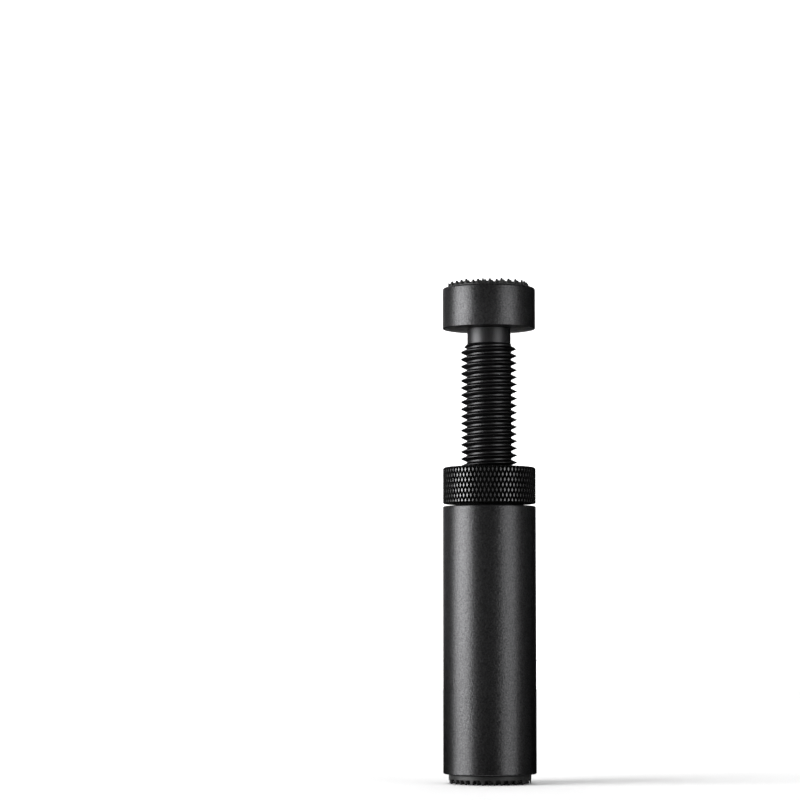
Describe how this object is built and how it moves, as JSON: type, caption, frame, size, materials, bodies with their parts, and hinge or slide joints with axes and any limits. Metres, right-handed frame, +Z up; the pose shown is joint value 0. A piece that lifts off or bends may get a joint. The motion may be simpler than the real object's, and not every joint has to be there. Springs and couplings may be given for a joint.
{
  "type": "graphics card support stand",
  "caption": "Free-standing screw jack that props up the end of a graphics card: a knurled ring nut on a plain tube raises a threaded post with a padded head.",
  "frame": {"origin": "middle of the foot, on the plane that the base pad stands on", "axes": "+Z up along the stand's axis; the stand is round, and the picture looks along +Y"},
  "size_m": [0.026, 0.026, 0.1402],
  "materials": {
    "anodised_aluminium": "bead-blasted, black anodised",
    "plated_magnet": "nickel plated",
    "pad_rubber": "matte"
  },
  "bodies": {
    "base": {"body_tube": "anodised_aluminium", "base_magnet": "plated_magnet", "base_pad": "pad_rubber"},
    "ring": {"adjusting_ring": "anodised_aluminium"},
    "post": {"screw_post": "anodised_aluminium", "head_cap": "anodised_aluminium", "top_pad": "pad_rubber"}
  },
  "joints": [
    {"name": "ring_turn", "type": "hinge", "parent": "base", "child": "ring", "pos_m": [0, 0, 0.083], "axis": [0, 0, 1], "range_deg": [-1080, 6930]},
    {"name": "post_lift", "type": "slide", "parent": "base", "child": "post", "axis": [0, 0, 1], "range_m": [-0.0385, 0.006]}
  ],
  "couplings": [
    {"joint": "ring_turn", "follows": "post_lift", "rad_per_m": -3141.6}
  ]
}
